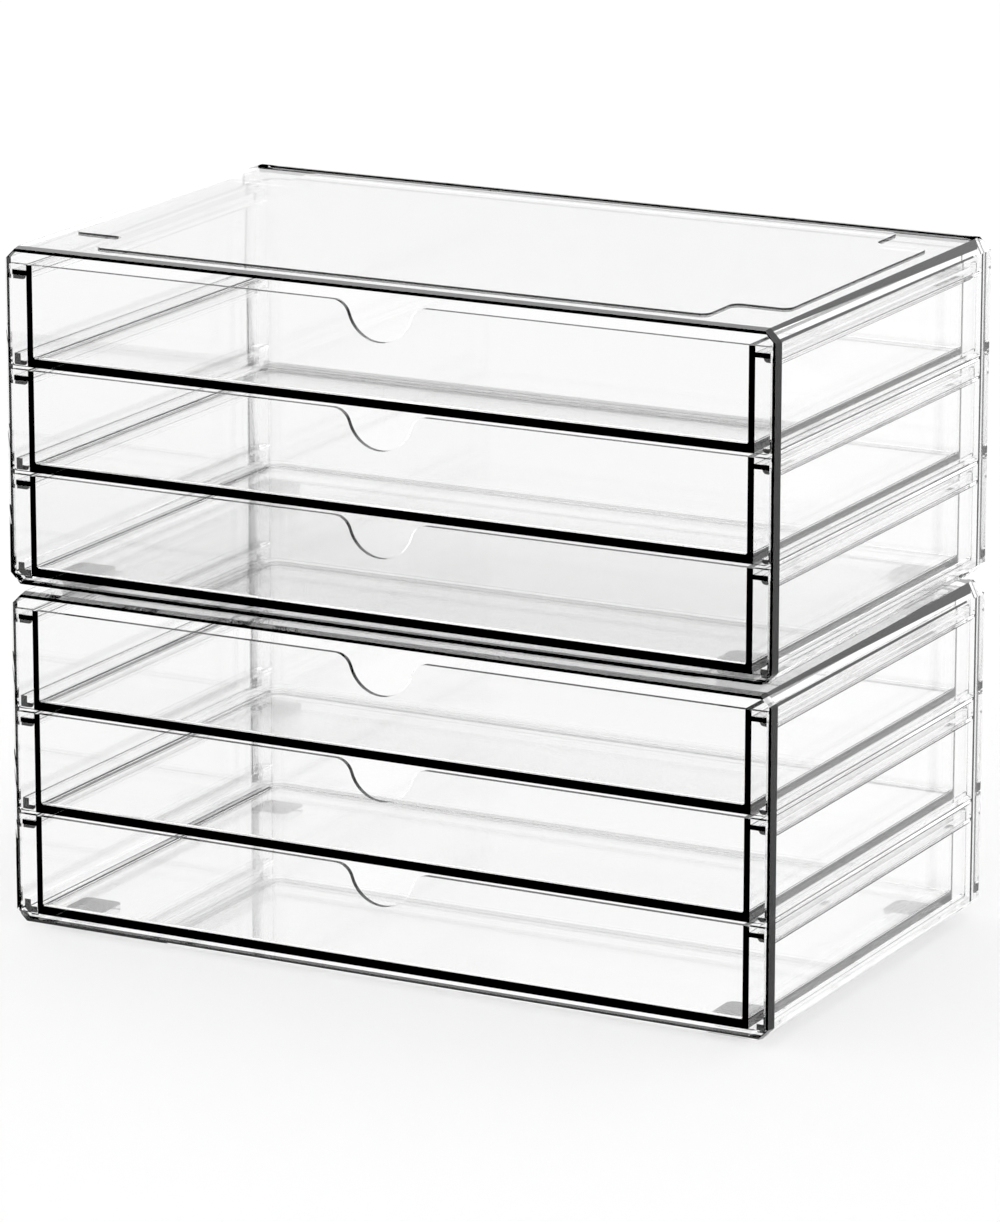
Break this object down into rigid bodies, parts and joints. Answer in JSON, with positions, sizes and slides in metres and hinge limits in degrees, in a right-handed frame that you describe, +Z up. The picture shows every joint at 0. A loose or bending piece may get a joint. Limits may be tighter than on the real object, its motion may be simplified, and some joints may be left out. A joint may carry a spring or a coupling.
{
  "type": "craft stamp storage drawers",
  "caption": "Clear plastic craft stamp storage: stacked cases on corner feet, each with shallow pull-out drawers that have a rounded finger notch in the front.",
  "frame": {"origin": "on the surface the stack stands on, under the middle of its bounding box", "axes": "+Z up, +X along the width to the right as seen from the drawer fronts, +Y from the fronts to the back"},
  "size_m": [0.305, 0.178, 0.2547],
  "materials": {
    "clear_plastic": "clear polished",
    "foot_rubber": "translucent, soft"
  },
  "bodies": {
    "lower_unit": {"lower_case": "clear_plastic", "lower_foot_front_left": "foot_rubber", "lower_foot_front_right": "foot_rubber", "lower_foot_rear_left": "foot_rubber", "lower_foot_rear_right": "foot_rubber"},
    "upper_unit": {"upper_case": "clear_plastic", "upper_foot_front_left": "foot_rubber", "upper_foot_front_right": "foot_rubber", "upper_foot_rear_left": "foot_rubber", "upper_foot_rear_right": "foot_rubber"},
    "lower_bottom_drawer": {"lower_drawer_bottom": "clear_plastic"},
    "lower_middle_drawer": {"lower_drawer_middle": "clear_plastic"},
    "lower_top_drawer": {"lower_drawer_top": "clear_plastic"},
    "upper_bottom_drawer": {"upper_drawer_bottom": "clear_plastic"},
    "upper_middle_drawer": {"upper_drawer_middle": "clear_plastic"},
    "upper_top_drawer": {"upper_drawer_top": "clear_plastic"}
  },
  "joints": [
    {"name": "upper_unit_lift", "type": "slide", "parent": "lower_unit", "child": "upper_unit", "axis": [0, 0, 1], "range_m": [0, 0.15]},
    {"name": "lower_bottom_drawer_slide", "type": "slide", "parent": "lower_unit", "child": "lower_bottom_drawer", "axis": [0, -1, 0], "range_m": [0, 0.14]},
    {"name": "lower_middle_drawer_slide", "type": "slide", "parent": "lower_unit", "child": "lower_middle_drawer", "axis": [0, -1, 0], "range_m": [0, 0.14]},
    {"name": "lower_top_drawer_slide", "type": "slide", "parent": "lower_unit", "child": "lower_top_drawer", "axis": [0, -1, 0], "range_m": [0, 0.14]},
    {"name": "upper_bottom_drawer_slide", "type": "slide", "parent": "upper_unit", "child": "upper_bottom_drawer", "axis": [0, -1, 0], "range_m": [0, 0.14]},
    {"name": "upper_middle_drawer_slide", "type": "slide", "parent": "upper_unit", "child": "upper_middle_drawer", "axis": [0, -1, 0], "range_m": [0, 0.14]},
    {"name": "upper_top_drawer_slide", "type": "slide", "parent": "upper_unit", "child": "upper_top_drawer", "axis": [0, -1, 0], "range_m": [0, 0.14]}
  ]
}
